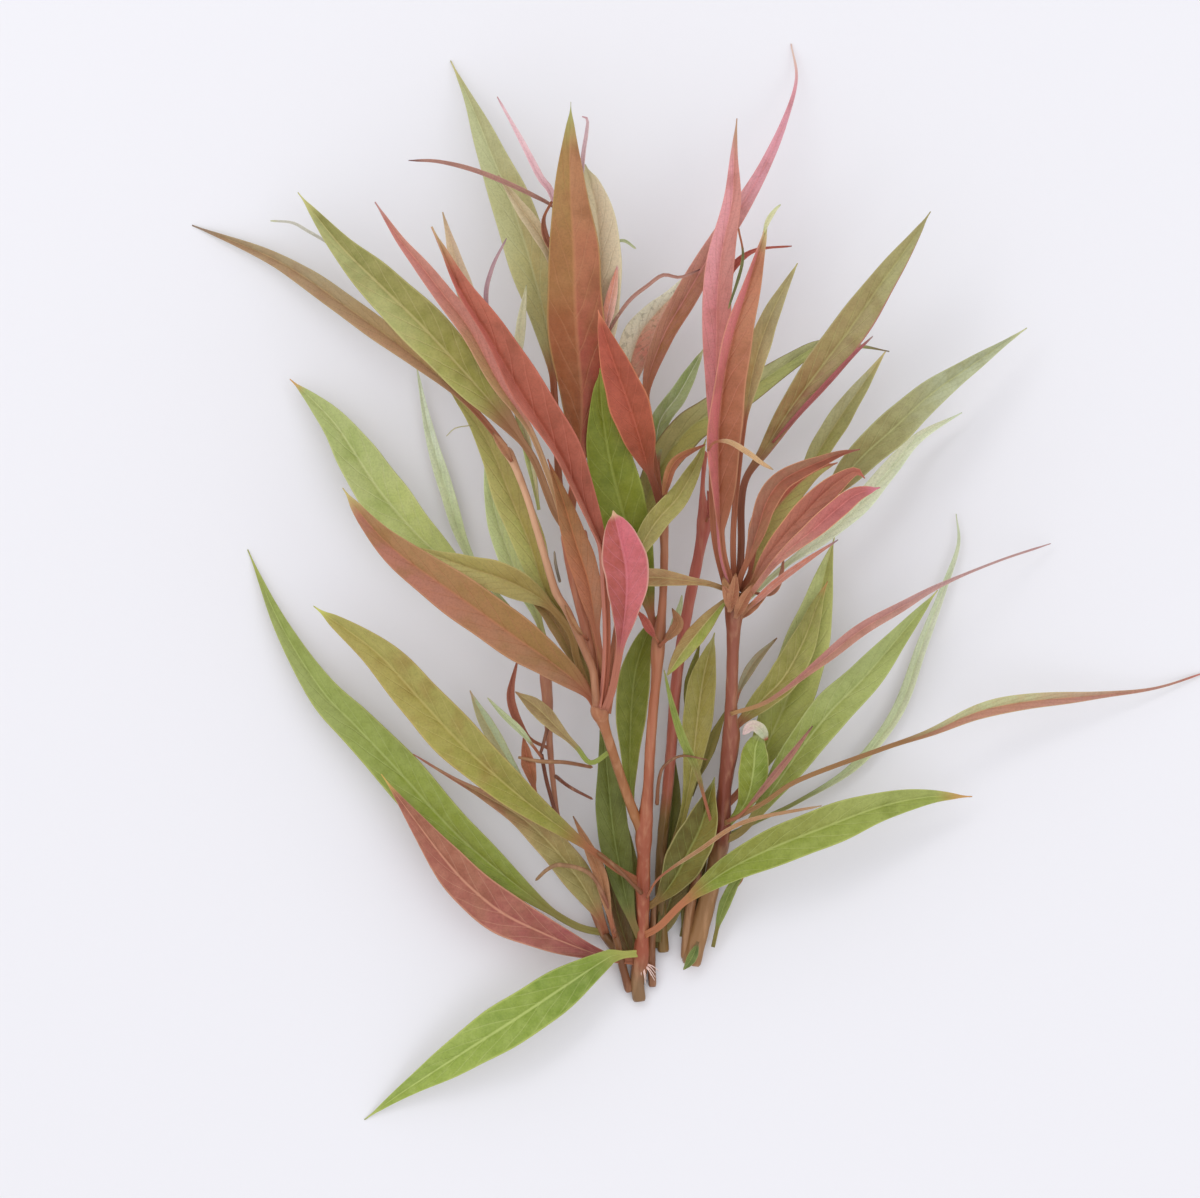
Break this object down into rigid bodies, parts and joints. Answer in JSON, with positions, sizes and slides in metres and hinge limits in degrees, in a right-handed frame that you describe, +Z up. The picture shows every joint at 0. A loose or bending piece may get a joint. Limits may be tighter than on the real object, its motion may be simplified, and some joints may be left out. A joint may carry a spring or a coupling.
{
  "type": "cut bunch of alternanthera plant",
  "caption": "Cut bunch of the aquarium plant Alternanthera rosaefolia, lying flat: branching reddish stems with long narrow green, olive, orange and pink leaves.",
  "frame": {"origin": "on the surface it lies on, under the middle of its bounding box", "axes": "+Z up from the surface towards the leaf faces, +Y from the cut stem ends to the leaf tips, +X to the right seen from above"},
  "size_m": [0.2056, 0.2176, 0.0415],
  "materials": {
    "stem_red": "smooth and slightly glossy",
    "stem_pink": "smooth and slightly glossy",
    "stem_dark": "smooth and slightly glossy",
    "leaf_tan": "soft satin leaf skin with fine veins",
    "leaf_olive": "soft satin leaf skin with fine veins",
    "leaf_red_brown": "soft satin leaf skin with fine veins",
    "leaf_pale_green": "soft satin leaf skin with fine veins",
    "leaf_orange": "soft satin leaf skin with fine veins",
    "leaf_brown": "soft satin leaf skin with fine veins",
    "leaf_pink": "soft satin leaf skin with fine veins",
    "leaf_green": "soft satin leaf skin with fine veins",
    "leaf_red": "soft satin leaf skin with fine veins",
    "leaf_yellow_green": "soft satin leaf skin with fine veins",
    "leaf_dark_green": "soft satin leaf skin with fine veins"
  },
  "bodies": {
    "root": {"stem_front": "stem_red", "stem_left": "stem_red", "stem_upper_left": "stem_pink", "stem_right": "stem_dark", "stem_back": "stem_dark", "stem_left_back": "stem_dark", "leaf_tan_far_left": "leaf_tan", "leaf_olive_upper_left": "leaf_olive", "leaf_pink_upper_left": "leaf_red_brown", "leaf_red_blade": "leaf_red_brown", "leaf_pale_green_top": "leaf_pale_green", "leaf_orange_centre": "leaf_orange", "leaf_rounded_behind_orange": "leaf_tan", "leaf_orange_behind_red": "leaf_orange", "leaf_olive_left_centre": "leaf_olive", "leaf_large_red_brown": "leaf_brown", "leaf_olive_above_red_brown": "leaf_olive", "leaf_small_pink_front": "leaf_pink", "leaf_olive_over_crown": "leaf_olive", "leaf_long_olive_crossing": "leaf_olive", "leaf_small_olive_brown": "leaf_olive", "leaf_light_green_back": "leaf_pale_green", "leaf_narrow_pale": "leaf_pale_green", "leaf_light_green_left": "leaf_pale_green", "leaf_big_green_lower_left": "leaf_green", "leaf_long_tipped": "leaf_olive", "leaf_pale_strip_lower_left": "leaf_pale_green", "leaf_twisted_dark_red": "leaf_red", "leaf_pale_olive_centre": "leaf_olive", "leaf_pink_red_lower_left": "leaf_red_brown", "leaf_yellow_green_drooping": "leaf_yellow_green", "leaf_dark_green_front": "leaf_dark_green", "leaf_green_lower_right": "leaf_green", "leaf_dark_green_right_base": "leaf_dark_green", "leaf_olive_brown_lower_left": "leaf_olive", "leaf_green_between_stems": "leaf_green", "leaf_bright_green_centre": "leaf_green", "leaf_red_front": "leaf_red", "leaf_pale_spotted_curl": "leaf_pale_green", "leaf_tall_pink_back": "leaf_red_brown", "leaf_thin_pale_right": "leaf_pale_green", "leaf_green_right": "leaf_green", "leaf_long_right": "leaf_olive", "leaf_tall_olive_right": "leaf_olive", "leaf_dark_olive_right": "leaf_olive", "leaf_bright_green_right": "leaf_yellow_green", "leaf_long_pink_right": "leaf_pink", "leaf_tall_red": "leaf_red", "leaf_two_tone_front": "leaf_orange", "leaf_olive_behind_two_tone": "leaf_olive", "leaf_big_olive_brown_right": "leaf_olive", "leaf_small_olive_right": "leaf_olive", "leaf_pointed_olive_right": "leaf_olive", "leaf_mint_back": "leaf_pale_green", "leaf_curled_red": "leaf_red", "leaf_red_green_stripe": "leaf_red_brown", "leaf_red_brown_right": "leaf_red_brown", "leaf_pink_red_right": "leaf_red_brown", "leaf_green_hanging": "leaf_green", "leaf_brown_pointing_left": "leaf_brown"}
  },
  "joints": []
}
